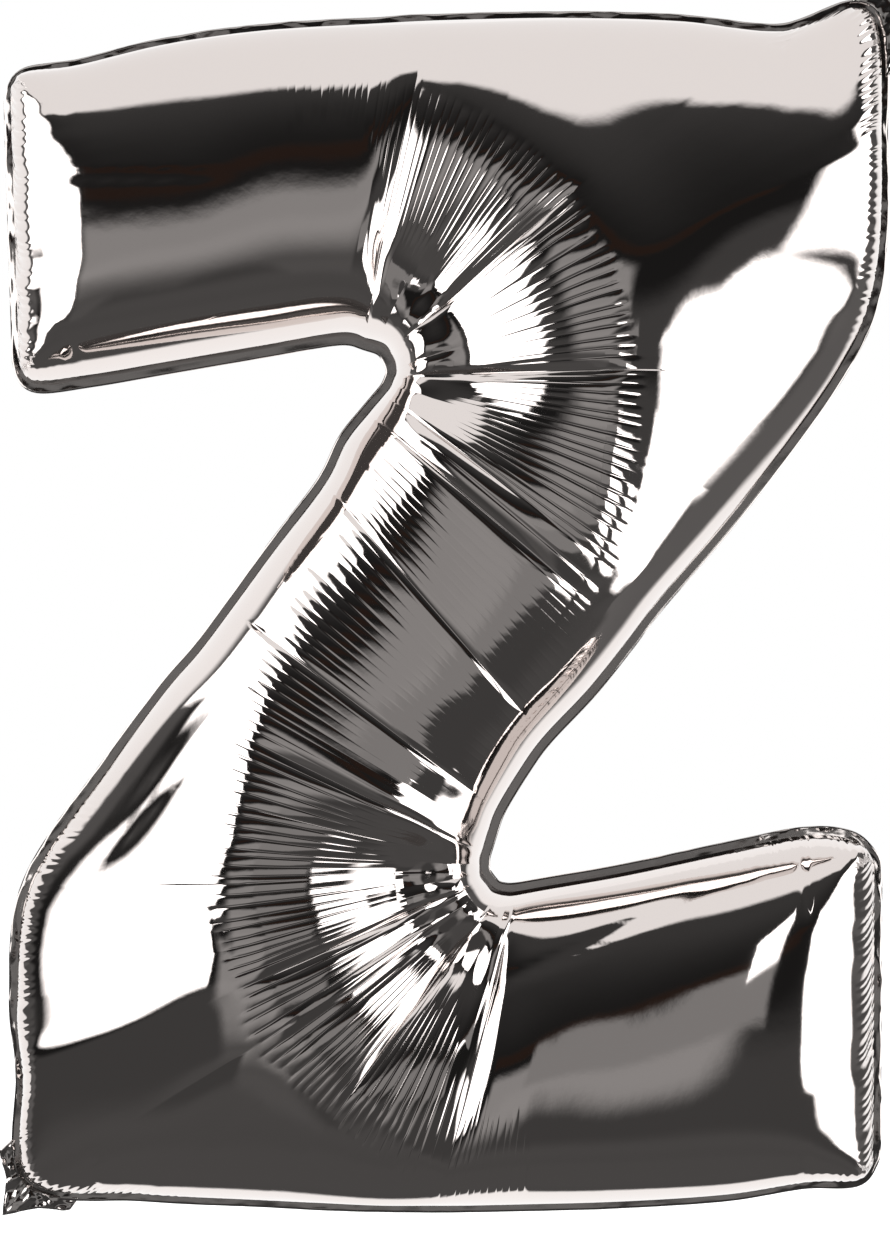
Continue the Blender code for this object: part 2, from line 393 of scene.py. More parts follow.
def stretched_membrane(points):
    """The height of a membrane held at the grid's rim and pushed evenly, for unit push."""
    down, across, rising, falling, area = cot_weights(points)
    links = (
        (down, np.s_[:-1, :], np.s_[1:, :]),
        (across, np.s_[:, :-1], np.s_[:, 1:]),
        (rising, np.s_[:-1, :-1], np.s_[1:, 1:]),
        (falling, np.s_[1:, :-1], np.s_[:-1, 1:]),
    )

    def rim_cleared(values):
        values[0] = values[-1] = 0
        values[:, 0] = values[:, -1] = 0
        return values

    def applied(u):
        out = np.zeros_like(u)
        for weight, one, other in links:
            flow = weight * (u[one] - u[other])
            out[one] += flow
            out[other] -= flow
        return rim_cleared(out)

    diagonal = np.zeros_like(area)
    for weight, one, other in links:
        diagonal[one] += weight
        diagonal[other] += weight
    height = np.zeros_like(area)
    rest = rim_cleared(area)
    scaled = rest / diagonal
    heading = scaled.copy()
    power = (rest * scaled).sum()
    goal = power * SOLVER_GOAL
    for _ in range(SOLVER_STEPS):
        moved = applied(heading)
        step = power / (heading * moved).sum()
        height += step * heading
        rest -= step * moved
        scaled = rest / diagonal
        new_power = (rest * scaled).sum()
        if new_power < goal:
            break
        heading = scaled + new_power / power * heading
        power = new_power
    return height


def spline_weights(places, count):
    """Cubic spline weights of count even knots, with one knot added at either end."""
    first = np.clip(np.floor(places).astype(int), 0, count - 2)
    t = places - first
    weights = np.stack([(1 - t)**3, 3 * t**3 - 6 * t**2 + 4, -3 * t**3 + 3 * t**2 + 3 * t + 1, t**3]) / 6
    return first, weights


def even_height(places, shares):
    """Half the balloon's depth before any crease or pleat, for unit fullness."""
    knots = np.arange((len(STATIONS) - 1) * SOLVER_ROWS + 1) / SOLVER_ROWS
    left, right = seam_points(knots)
    angles = np.linspace(0, math.pi, SOLVER_COLUMNS + 1)
    across = (1 - np.cos(angles)) / 2
    points = left[:, None] + (right - left)[:, None] * across[None, :, None]
    pushed = stretched_membrane(points)
    ends = end_shares(left, right)
    with np.errstate(divide="ignore", invalid="ignore"):
        form = pushed / (across * (1 - across))[None] / ends[:, None]
    form[:, 0] = (4 * form[:, 1] - form[:, 2]) / 3
    form[:, -1] = (4 * form[:, -2] - form[:, -3]) / 3
    form[0] = 3 * form[1] - 3 * form[2] + form[3]
    form[-1] = 3 * form[-2] - 3 * form[-3] + form[-4]
    form = np.concatenate([form[:, 1:2], form, form[:, -2:-1]], axis=1)
    form = np.concatenate([2 * form[:1] - form[1:2], form, 2 * form[-1:] - form[-2:-1]])
    shares = shifted_shares(places, shares)
    row_first, row_weights = spline_weights(places * SOLVER_ROWS, len(knots))
    by_row = sum(row_weights[k][:, None] * form[row_first + k] for k in range(4))
    turns = np.arccos(np.clip(1 - 2 * shares, -1, 1)) / math.pi * SOLVER_COLUMNS
    first, weights = spline_weights(turns, SOLVER_COLUMNS + 1)
    rows = np.arange(len(places))[:, None]
    smooth = sum(weights[k] * by_row[rows, first + k] for k in range(4))
    fine_left, fine_right = seam_points(places)
    fine_ends = end_shares(fine_left, fine_right)
    height = np.sqrt(np.maximum(2 * smooth * shares * (1 - shares) * fine_ends[:, None], 0))
    gap = np.maximum(end_distance(fine_left, fine_right), 0.01)
    height /= np.sqrt(1 - np.exp(-gap / END_SLACK))[:, None]
    height *= 1 - (1 - FAN_FULLNESS) * fan_share(places)[:, None]
    return end_facets(squared_off(height), gap, places)


def end_facets(height, gap, places):
    """The film also slopes down to the two end seams, in a facet between each bar's two sides."""
    length = np.where(places < MIDDLE_STATION, *END_LENGTHS)
    rising = np.clip(gap / length, 1e-4, 1)
    crest = np.maximum(height.max(axis=1), 1e-3)
    slope = (crest * (1 - (1 - rising)**END_ROUND) ** (1 / END_ROUND))[:, None]
    tall = np.maximum(height, 1e-6)
    return tall * slope / (tall**END_FACETS + slope**END_FACETS) ** (1 / END_FACETS)


def shifted_shares(places, shares):
    """The places across a stroke whose height each point takes, so that the crest lies off the middle."""
    left, right = seam_points(places)
    chords = np.linalg.norm(right - left, axis=1)
    stations, shifts = zip(*CREST_SHIFT)
    first = np.clip(np.searchsorted(stations, places, side="right") - 1, 0, len(stations) - 2)
    low, high = np.array(stations)[first], np.array(stations)[first + 1]
    blend = smoothstep(0, 1, (places - low) / (high - low))
    shift = np.array(shifts)[first] * (1 - blend) + np.array(shifts)[first + 1] * blend
    return shares - (shift / chords)[:, None] * (4 * shares * (1 - shares))**2


def fan_share(places):
    """1 in the two fans and 0 in the bars and the diagonal."""
    return stretch_share(places, UPPER_FAN) + stretch_share(places, LOWER_FAN)


def corner_swell(places, shares, left, right):
    """The film rises more steeply from the seam at the two outer corners of the diagonal."""
    chords = np.linalg.norm(right - left, axis=1)[:, None]
    near_left = np.exp(-shares * chords / CORNER_REACH) * stretch_share(places, BOTTOM_CORNER)[:, None]
    near_right = np.exp(-(1 - shares) * chords / CORNER_REACH) * stretch_share(places, TOP_CORNER)[:, None]
    return 1 + CORNER_SWELL * (near_left + near_right)


def squared_off(height):
    """Each row's round section turned into one with fuller shoulders."""
    crest = np.maximum(height.max(axis=1), 1e-6)
    share = np.clip(height / crest[:, None], 0, 1)
    return crest[:, None] * (1 - (1 - share**2) ** (SHOULDERS / 2)) ** (1 / SHOULDERS)


def column_shares(chords, zone):
    """Where the columns lie across each row: closer together at the seams and at the pleats' tips."""
    samples = np.linspace(0, 1, SPACING_SAMPLES)
    away = samples[None] * chords[:, None]
    near_seam = np.minimum(away, chords[:, None] - away)
    spacing = np.minimum(SEAM_SPACING + SEAM_GROWTH * near_seam, WIDEST_SPACING)
    for edge in (zone[:, 0], zone[:, 2]):
        spacing = np.minimum(spacing, TIP_SPACING + TIP_GROWTH * np.abs(away - edge[:, None]))
    density = 1 / spacing
    summed = np.cumsum((density[:, 1:] + density[:, :-1]) / 2, axis=1)
    total = np.concatenate([np.zeros((len(chords), 1)), summed], axis=1)
    total /= total[:, -1:]
    wanted = np.linspace(0, 1, COLUMNS + 1)
    shares = np.stack([np.interp(wanted, row, samples) for row in total])
    shares[:, 0], shares[:, -1] = 0, 1
    return shares


def crease_drop(points, settings):
    """How far the film is pulled in along the creases."""
    stations = station_table()
    drop = np.zeros(points.shape[:2])
    for station, root, depth, width, shallow, gone in CREASES:
        left, right = stations[station, LEFT], stations[station, RIGHT]
        if root == "right":
            left, right = right, left
        line = (right - left) / np.linalg.norm(right - left)
        offset = points - left
        along = offset @ line
        beside = np.abs(offset[..., 0] * line[1] - offset[..., 1] * line[0])
        if root == "none":
            reach = np.full(along.shape, width)
            rise = smoothstep(*PLAIN_CREASE_RISE, along)
        else:
            reach = np.maximum(width * along / CREASE_REACH, NARROWEST_CREASE)
            rise = smoothstep(0, CREASE_RISE, along)
        valley = np.clip(1 - beside / reach, 0, 1)**2
        drop += depth * rise * (1 - smoothstep(shallow, gone, along)) * valley
    return drop * settings.crease_depth


def fold_drop(points):
    """How far the film is pulled in along the straight folds."""
    drop = np.zeros(points.shape[:2])
    for from_x, from_z, to_x, to_z, depth, width in FOLDS:
        start = np.array([from_x, from_z], float)
        step = np.array([to_x, to_z], float) - start
        length = np.linalg.norm(step)
        offset = points - start
        along = offset @ step / length
        beside = np.abs(offset[..., 0] * step[1] - offset[..., 1] * step[0]) / length
        fade = length * FOLD_FADE
        ends = smoothstep(-width, fade, along) * smoothstep(-width, fade, length - along)
        drop += depth * ends * np.clip(1 - beside / width, 0, 1)**2
    return drop


def wobble(distance, wavelength, seed):
    """A smooth random curve between -1 and 1 along a distance."""
    steps = distance / wavelength
    number = np.floor(steps).astype(int)
    number -= number.min()
    values = np.random.default_rng(seed).uniform(-1, 1, number.max() + 2)
    share = smoothstep(0, 1, steps - np.floor(steps))
    return values[number] * (1 - share) + values[number + 1] * share


def pucker_rise(places, left, right, away, chords, seed):
    """Short radial waves that start at the seam and die out over the film."""
    rise = np.zeros(away.shape)
    (short, long), reach, start, height = SIDE_PUCKERS
    sides = ((left, away, 0, LEFT_TEETH), (right, chords[:, None] - away, 1, RIGHT_TEETH))
    for line, gap, extra, teeth in sides:
        along = run_lengths(line)
        wave = wobble(along, short, seed + extra) + wobble(along, long, seed + extra + 2)
        wave *= np.interp(places, *zip(*teeth))
        rise += wave[:, None] * np.exp(-gap / reach) * smoothstep(0, start, gap) * height
    (short, long), reach, start, height = END_PUCKERS
    middle = run_lengths((left + right) / 2)
    for gap, extra in ((middle, 4), (middle[-1] - middle, 5)):
        wave = wobble(away, short, seed + extra) + wobble(away, long, seed + extra + 6)
        rise += wave * (np.exp(-gap / reach) * smoothstep(0, start, gap))[:, None] * height
    return rise


def pleat_spread(plan, number):
    """The width of each pleat at each of its points."""
    starts = np.flatnonzero(np.diff(number, prepend=-1))
    ends = np.append(starts[1:], len(number) - 1)
    widths = np.linalg.norm(plan[ends] - plan[starts], axis=-1)
    return np.minimum(widths[np.searchsorted(starts, np.arange(len(number)), side="right") - 1], WIDEST_PLEAT)


def pleat_rise(counts, places, plan, away, zone, seed, settings):
    """How far the pleats stand out, each a rounded ridge between two valleys."""
    draw = np.random.default_rng(seed)
    number = np.floor(counts + 1e-6).astype(int)
    share = np.clip(counts - number, 0, 1)
    spread = pleat_spread(plan, number)
    ridge = 1 - np.abs(2 * share - 1)**PLEAT_SHAPE
    most = number.max() + 2
    tall = draw.uniform(*PLEAT_HEIGHTS, most)[number]
    early = draw.uniform(*LONG_STRAY, most)[number]
    late = draw.uniform(*SHORT_STRAY, most)[number]
    start, start_fade, end, end_fade = zone.T
    first = start + np.where(start_fade > LONG_FADE, early, late)
    final = end - np.where(end_fade > LONG_FADE, early, late)
    tip = spread * 0.5 * ((2 * share - 1)**2)[:, None]
    rise = smoothstep(0, 1, (away - first[:, None] - tip) / start_fade[:, None])
    fall = 1 - smoothstep(0, 1, (away + tip - final[:, None]) / end_fade[:, None] + 1)
    from_first, from_final = away - first[:, None], final[:, None] - away
    calm_left = sum(CALM * smoothstep(*step, from_first) for step in CALM_STEPS)
    calm_right = 2 * CALM * (1 - smoothstep(*CALM_RIGHT, from_final)) * smoothstep(*CALM_TIP, from_final)
    quiet = 1 - stretch_share(places, DIAGONAL)[:, None] * np.maximum(calm_left, calm_right)
    grown = smoothstep(*PLEATS_START, places) * tall
    height = (ridge * grown)[:, None] * rise * fall * quiet
    return height * spread * settings.pleat_slope / 4


def fan_section(height, away, chords, zone, places):
    """The film's height with the fans' own section: round towards the inner corner and straight outwards."""
    upper = (places < MIDDLE_STATION)[:, None]
    chords = chords[:, None]
    gap = np.where(upper, away, chords - away)
    crest = np.where(upper, zone[:, 2:3], chords - zone[:, :1]) - FAN_CREST
    rows = [(g, h) if g[0] < g[-1] else (g[::-1], h[::-1]) for g, h in zip(gap, height)]
    tall = np.array([np.interp(place, *row) for place, row in zip(crest[:, 0], rows)])[:, None]
    inner = np.clip((crest - gap) / crest, 0, 1)
    outer = np.clip((gap - crest) / (chords - crest), 0, 1)
    rounded = tall * (1 - inner**FAN_INNER) ** (1 / FAN_INNER)
    cone = tall * (1 - outer**FAN_OUTER) ** (1 / FAN_OUTER)
    share = fan_share(places)[:, None]
    near_share = share * smoothstep(*FAN_ROOT, gap)
    far_share = share * FAN_CONE * stretch_share(places, CONES)[:, None]
    share = np.where(gap < crest, near_share, far_share)
    return height * (1 - share) + np.where(gap < crest, rounded, cone) * share


def flute_rise(left, right, away, chords, places):
    """Broad flutes that spread from the two inner corners and run out under the pleats."""
    upper = (places < MIDDLE_STATION)[:, None]
    root = np.where(upper, left, right)
    line = np.where(upper, right, left) - root
    angles = np.degrees(np.unwrap(np.arctan2(line[:, 1], line[:, 0])))
    phase = angles / FLUTE_TURN + FLUTE_WANDER * wobble(angles - angles.min(), FLUTE_WANDER_TURN, FLUTE_SEED)
    bulge = 1 - (2 * (phase - np.floor(phase)) - 1)**2
    gap = np.where(upper, away, chords[:, None] - away)
    return FLUTE_HEIGHT * (bulge * fan_share(places))[:, None] * stretch_share(gap, FLUTE_ZONE)


def ridge_rise(away, zone, places, settings):
    """In the fans the film climbs straight to the pleats' outer tips and bends down past them."""
    start, _, end, _ = (column[:, None] for column in zone.T)
    upper = (places < MIDDLE_STATION)[:, None]
    tip = np.where(upper, end, start)
    root = np.where(upper, start, end)
    inwards = (away - root) / (tip - root)
    outwards = np.where(upper, away - tip, tip - away)
    rise = np.where(outwards > 0, np.exp(-(outwards / RIDGE_REACH)**2), np.clip(inwards, 0, 1))
    return rise * fan_share(places)[:, None] * settings.ridge_height / MM


def cuff_rise(away, zone, places, settings):
    """The gathered band stands out over the plain film beside it."""
    start, start_fade, end, end_fade = (column[:, None] for column in zone.T)
    up = smoothstep(0, 1, (away - start) / (start_fade + CUFF_FADE))
    down = 1 - smoothstep(0, 1, (away - end) / (end_fade + CUFF_FADE) + 1)
    return up * down * stretch_share(places, GATHERED_BAND)[:, None] * settings.cuff_height / MM


def film_grid(side, seed, settings):
    """The film's points in millimetres, row by row, with their distances from the left seam."""
    places, counts = row_places()
    left, right = seam_points(places)
    zone = between_points(station_table()[:, PLEAT_ZONE], places)
    chords = np.linalg.norm(right - left, axis=1)
    shares = column_shares(chords, zone)
    plan = left[:, None] + (right - left)[:, None] * shares[..., None]
    height = even_height(places, shares) * settings.fullness
    away = shares * chords[:, None]
    height = fan_section(height, away, chords, zone, places) * corner_swell(places, shares, left, right)
    near_seam = np.minimum(away, chords[:, None] - away)
    pinned = smoothstep(0, SEAM_HOLD, near_seam) * smoothstep(0, END_HOLD, end_shares(left, right))[:, None]
    change = pleat_rise(counts, places, plan, away, zone, seed, settings)
    change += cuff_rise(away, zone, places, settings) + ridge_rise(away, zone, places, settings)
    change += flute_rise(left, right, away, chords, places)
    change -= crease_drop(plan, settings) + fold_drop(plan)
    change *= pinned
    puckers = pucker_rise(places, left, right, away, chords, seed + PUCKER_SEED)
    change += puckers * settings.pucker_height / MM
    base = np.stack([plan[..., 0], side * height, plan[..., 1]], axis=-1)
    normals = grid_normals(base)
    normals *= np.sign(normals[..., 1:2] * side + 1e-12)
    return base + normals * change[..., None], away, places


def grid_normals(points):
    """Unit normals of a grid of points."""
    down = np.gradient(points, axis=0)
    across = np.gradient(points, axis=1)
    normals = np.cross(down, across)
    lengths = np.linalg.norm(normals, axis=-1, keepdims=True)
    return normals / np.maximum(lengths, 1e-9)


def seam_coordinates(away, places):
    """For each point: how far along the nearest seam it lies, how far from it, and how toothed it is."""
    left, right = seam_points(places)
    chords = np.linalg.norm(right - left, axis=1)[:, None]
    flat = 0 * away
    gaps = np.stack([away, chords - away, end_distance(left, right)[:, None] + flat])
    left_run, right_run = (run_lengths(line)[:, None] + flat for line in (left, right))
    along = np.stack([left_run, right_run + RIGHT_SEAM_START, away + END_SEAM_START])
    teeth = [np.interp(places, *zip(*columns))[:, None] + flat for columns in (LEFT_TEETH, RIGHT_TEETH)]
    teeth = np.stack([*teeth, 1 + flat])
    nearest = gaps.argmin(axis=0)[None]
    return np.concatenate([np.take_along_axis(values, nearest, axis=0) for values in (along, gaps, teeth)])


def film_mesh(name, side, seed, settings):
    """One film's mesh, on the side along Y that it faces, with its seam coordinates."""
    points, away, places = film_grid(side, seed, settings)
    rows, columns = points.shape[:2]
    index = np.arange(rows * columns).reshape(rows, columns)
    corners = [index[corner] for corner in CELL_CORNERS]
    if side < 0:
        corners = corners[::-1]
    faces = np.stack([corner.ravel() for corner in corners], axis=1)
    mesh = bpy.data.meshes.new(name)
    mesh.vertices.add(rows * columns)
    mesh.vertices.foreach_set("co", (points * MM).astype(np.float32).ravel())
    mesh.loops.add(faces.size)
    mesh.loops.foreach_set("vertex_index", faces.astype(np.int32).ravel())
    mesh.polygons.add(len(faces))
    mesh.polygons.foreach_set("loop_start", np.arange(0, faces.size, 4, dtype=np.int32))
    mesh.update(calc_edges=True)
    seam = np.moveaxis(seam_coordinates(away, places), 0, -1) * (MM, MM, 1)
    stored = mesh.attributes.new("seam", "FLOAT_VECTOR", "POINT")
    stored.data.foreach_set("vector", seam.astype(np.float32).ravel())
    mesh.validate()
    mesh.shade_smooth()
    return mesh


# How strongly the flange is crumpled, by station along either seam.
LEFT_CRUMPLE = (
    (0, 1.0), (1.4, 0.9), (2.2, 0.1), (22, 0.1), (24, 0.8), (27, 1.3), (28, 0.4), (34, 0.3), (35.5, 1.0),
    (37, 1.0),
)
RIGHT_CRUMPLE = (
    (0, 1.0), (2, 0.9), (9, 0.8), (10, 1.3), (12, 0.8), (13, 0.12), (33, 0.1), (34.3, 0.9), (37, 1.0),
)
# The outline is read at so many points a station, and smoothed over so many millimetres to either side.
OUTLINE_STEPS = 8
OUTLINE_SMOOTHING = 7

# The outer edges of the two ears, in X and Z.
EAR_TOP_RIGHT = ((282, 420), (298, 445), (318, 442), (328, 426), (331, 396), (316, 378))
EAR_BOTTOM_LEFT = (
    (-262, -423), (-268, -431), (-290, -429), (-316, -434), (-313, -408), (-318, -388), (-309, -380),
)
# An ear's grid, how far outside the seam it starts, and its crumples.
EAR_ROWS = 6
EAR_SPACING = 1.5
EAR_GAP = 4.0
EAR_SMOOTHING = 5
EAR_WAVES = (5.0, 12.0)
EAR_BROAD_SHARE = 0.7
EAR_CRUMPLE = 2.6
EAR_SPREAD = 0.7
EAR_THICKNESS = 0.4
# The filling tail's two ends, its width, how much narrower its tip is and from where, its grid, and how it
# curls and ripples out of its plane.
VALVE_ROOT = (323, 418)
VALVE_TIP = (365, 449)
VALVE_WIDTH = 20.0
VALVE_NARROWING = 0.12
VALVE_TIP_START = 0.9
VALVE_ROWS, VALVE_COLUMNS = 24, 16
VALVE_CURL = 2.0
VALVE_RIPPLE = 0.35
VALVE_THICKNESS = 0.5
# The flange reaches a little in between the films, and is swept with so many points across it.
FLANGE_TUCK = 1.5 * MM
FLANGE_THICKNESS = 0.4 * MM
FLANGE_SPACING = 2.5 * MM
FLANGE_WAVE = 26 * MM
FLANGE_POINTS = 6
FLANGE_MERGE = 0.01 * MM
FLANGE_COLOR = (0.42, 0.39, 0.375)
EAR_COLOR = (0.6, 0.56, 0.54)
TAIL_COLOR = (0.72, 0.7, 0.69)
# The small gathers at the seams, which are too fine for the mesh: how wide and high they are, how far they
# reach and fade, and how much they stray.
TOOTH_WIDTH = 6.5 * MM
TOOTH_HEIGHT = 1.1 * MM
TOOTH_REACH = 9 * MM
TOOTH_FADE = (10 * MM, -6 * MM)
TOOTH_STRAY = 9


def outline():
    """The seam's points in order round the letter, with the flange's crumple at each."""
    places = np.arange((len(STATIONS) - 1) * OUTLINE_STEPS + 1) / OUTLINE_STEPS
    left, right = seam_points(places)
    left_crumple = np.interp(places, *zip(*LEFT_CRUMPLE))
    right_crumple = np.interp(places, *zip(*RIGHT_CRUMPLE))
    points = np.concatenate([right, left[::-1]])
    crumple = np.concatenate([right_crumple, left_crumple[::-1]])
    along = run_lengths(np.concatenate([points, points[:1]]))
    wanted = np.arange(0, along[-1], 1.0)
    columns = [np.interp(wanted, along, np.append(column, column[0])) for column in (*points.T, crumple)]
    weights = np.exp(-np.linspace(-2.5, 2.5, 2 * OUTLINE_SMOOTHING + 1)**2 / 2)
    weights /= weights.sum()
    smooth = [np.convolve(np.pad(column, OUTLINE_SMOOTHING, "wrap"), weights, "valid") for column in columns]
    return np.stack(smooth[:2], axis=1), smooth[2]


def grid_mesh(name, points, thick):
    """A closed thin mesh from a grid of points on its middle surface."""
    rows, columns = points.shape[:2]
    work = bmesh.new()
    sheets = []
    for side in (-1, 1):
        moved = points + side * thick / 2 * np.array([0, 1, 0])
        sheets.append([[work.verts.new(tuple(point * MM)) for point in row] for row in moved])
    for side, sheet in zip((-1, 1), sheets):
        for row, following in zip(sheet, sheet[1:]):
            for k in range(columns - 1):
                corners = [row[k], row[k + 1], following[k + 1], following[k]]
                work.faces.new(corners[::side])
    front, back = sheets
    rim = [(0, k) for k in range(columns)] + [(j, columns - 1) for j in range(1, rows)]
    rim += [(rows - 1, k) for k in range(columns - 2, -1, -1)] + [(j, 0) for j in range(rows - 2, 0, -1)]
    for (j, k), (m, n) in zip(rim, rim[1:] + rim[:1]):
        work.faces.new([front[j][k], front[m][n], back[m][n], back[j][k]])
    bmesh.ops.recalc_face_normals(work, faces=work.faces)
    mesh = bpy.data.meshes.new(name)
    work.to_mesh(mesh)
    work.free()
    mesh.shade_smooth()
    return mesh


def spaced_line(points, spacing):
    """A polyline's points at even distances, both ends kept."""
    points = np.array(points, float)
    along = run_lengths(points)
    wanted = np.linspace(0, along[-1], int(along[-1] / spacing) + 1)
    return np.stack([np.interp(wanted, along, column) for column in points.T], axis=1)


def ear_mesh(name, outer, seed):
    """A crumpled sheet between the seam and its own outer edge."""
    edge = spaced_line(outer, EAR_SPACING)
    seam, _ = outline()
    nearest = seam[np.argmin(np.linalg.norm(edge[:, None] - seam[None], axis=-1), axis=1)]
    window = np.ones(2 * EAR_SMOOTHING + 1) / (2 * EAR_SMOOTHING + 1)
    columns = [np.convolve(np.pad(column, EAR_SMOOTHING, "edge"), window, "valid") for column in nearest.T]
    smooth = np.stack(columns, axis=1)
    shares = np.linspace(0, 1, EAR_ROWS + 1)
    gap = np.maximum(np.linalg.norm(edge - smooth, axis=1), EAR_GAP)
    start = smooth + (edge - smooth) * (EAR_GAP / gap)[:, None]
    plan = start[None] + (edge - start)[None] * shares[:, None, None]
    distance = np.arange(len(edge)) * EAR_SPACING
    short, long = EAR_WAVES
    broad = EAR_BROAD_SHARE * wobble(distance, long, seed + 3)
    waves = np.stack([wobble(distance, short, seed + j) + broad for j in range(EAR_ROWS + 1)])
    depth = waves * EAR_CRUMPLE * shares[:, None] ** EAR_SPREAD
    return grid_mesh(name, np.stack([plan[..., 0], depth, plan[..., 1]], axis=-1), EAR_THICKNESS)


def valve_mesh(name):
    """The filling tail: two films pressed flat into one curled and slightly rippled strip."""
    root, tip = np.array(VALVE_ROOT, float), np.array(VALVE_TIP, float)
    along = (tip - root) / np.linalg.norm(tip - root)
    across = np.array([-along[1], along[0]])
    u = np.linspace(0, 1, VALVE_ROWS + 1)[:, None]
    v = np.linspace(-1, 1, VALVE_COLUMNS + 1)[None]
    width = VALVE_WIDTH / 2 * (1 - VALVE_NARROWING * smoothstep(VALVE_TIP_START, 1, u))
    plan = root + (tip - root) * u[..., None] + across * (v * width)[..., None]
    curl = VALVE_CURL * np.sin(u * 3.0) * np.ones_like(v) + VALVE_RIPPLE * np.sin(v * 9.0 + u * 4.0)
    return grid_mesh(name, np.stack([plan[..., 0], curl, plan[..., 1]], axis=-1), VALVE_THICKNESS)


def link(obj):
    """The object, put into the scene."""
    bpy.context.scene.collection.objects.link(obj)
    return obj


def piece(name, mesh, node, material):
    """A piece of the balloon that takes the place of a solid of the frame."""
    obj = link(bpy.data.objects.new(name, mesh))
    obj.data.materials.clear()
    obj.data.materials.append(material)
    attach(obj, BODY)
    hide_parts(node)
    return obj


class Wire:
    """A node socket that takes part in Python expressions, each of which adds its Math node."""

    def __init__(self, tree, socket):
        self.tree = tree
        self.socket = socket

    def math(self, operation, *others):
        """A Math node of that operation on this wire and the others."""
        node = self.tree.nodes.new("ShaderNodeMath")
        node.operation = operation
        for slot, value in zip(node.inputs, (self, *others)):
            plug(self.tree, slot, value)
        return Wire(self.tree, node.outputs[0])

    def __add__(self, other):
        return self.math("ADD", other)

    __radd__ = __add__

    def __sub__(self, other):
        return self.math("SUBTRACT", other)

    def __rsub__(self, other):
        return (self * -1) + other

    def __mul__(self, other):
        return self.math("MULTIPLY", other)

    __rmul__ = __mul__

    def __truediv__(self, other):
        return self.math("DIVIDE", other)

    def smooth(self, low, high):
        """0 under low and 1 over high, or the reverse where low is the larger."""
        node = self.tree.nodes.new("ShaderNodeMapRange")
        node.interpolation_type = "SMOOTHSTEP"
        flip = low > high
        ends = (high, low, 1, 0) if flip else (low, high, 0, 1)
        plug(self.tree, node.inputs["Value"], self)
        for name, value in zip(("From Min", "From Max", "To Min", "To Max"), ends):
            node.inputs[name].default_value = value
        return Wire(self.tree, node.outputs[0])


def plug(tree, slot, value):
    """Links a wire to a socket, or sets the socket to a plain value."""
    if isinstance(value, Wire):
        tree.links.new(value.socket, slot)
    else:
        slot.default_value = value


class Nodes:
    """A node tree under construction."""

    def __init__(self, tree):
        self.tree = tree

    def add(self, kind, output=0, settings=None, **values):
        """A node of that type with its settings, then its values or links by socket name."""
        node = self.tree.nodes.new(kind)
        for name, value in (settings or {}).items():
            setattr(node, name, value)
        for name, value in values.items():
            plug(self.tree, node.inputs[name.replace("_", " ")], value)
        return Wire(self.tree, node.outputs[output])

    def noise(self, x, y, detail):
        """Uneven values from 0 to 1 over two coordinates."""
        place = self.add("ShaderNodeCombineXYZ", X=x, Y=y)
        flat = {"noise_dimensions": "2D"}
        return self.add("ShaderNodeTexNoise", 0, flat, Vector=place, Scale=1.0, Detail=detail)

    def parts(self, vector):
        """A vector's three components."""
        node = self.tree.nodes.new("ShaderNodeSeparateXYZ")
        plug(self.tree, node.inputs[0], vector)
        return [Wire(self.tree, socket) for socket in node.outputs]


class GeoTree(Nodes):
    """A geometry node group with named inputs."""

    def __init__(self, name, inputs):
        group = bpy.data.node_groups.new(name, "GeometryNodeTree")
        super().__init__(group)
        group.interface.new_socket("Geometry", in_out="INPUT", socket_type="NodeSocketGeometry")
        group.interface.new_socket("Geometry", in_out="OUTPUT", socket_type="NodeSocketGeometry")
        for label, kind in inputs:
            group.interface.new_socket(label, in_out="INPUT", socket_type=kind)
        self.entry = group.nodes.new("NodeGroupInput")
        self.exit = group.nodes.new("NodeGroupOutput")

    def input(self, label):
        """The group's input of that label."""
        return Wire(self.tree, self.entry.outputs[label])

    def captured(self, geometry, name, value):
        """A curve that keeps a value at each of its points, and that value."""
        node = self.tree.nodes.new("GeometryNodeCaptureAttribute")
        node.capture_items.new("FLOAT", name)
        plug(self.tree, node.inputs["Geometry"], geometry)
        plug(self.tree, node.inputs[name], value)
        return Wire(self.tree, node.outputs["Geometry"]), Wire(self.tree, node.outputs[name])

    def finish(self, geometry):
        """Realise the result, give it the material input and send it out."""
        real = self.add("GeometryNodeRealizeInstances", Geometry=geometry)
        done = self.add("GeometryNodeSetMaterial", Geometry=real, Material=self.input("Material"))
        plug(self.tree, self.exit.inputs["Geometry"], done)

    def baked(self, name, mesh, values):
        """The mesh after this group, with its inputs set by label."""
        source = link(bpy.data.objects.new(name + "_path", mesh))
        modifier = source.modifiers.new("Path", "NODES")
        modifier.node_group = self.tree
        for item in self.tree.interface.items_tree:
            if item.in_out == "INPUT" and item.name in values:
                modifier[item.identifier] = values[item.name]
        bpy.context.view_layer.update()
        graph = bpy.context.evaluated_depsgraph_get()
        result = bpy.data.meshes.new_from_object(source.evaluated_get(graph))
        result.name = name
        bpy.data.objects.remove(source)
        bpy.data.meshes.remove(mesh)
        return result


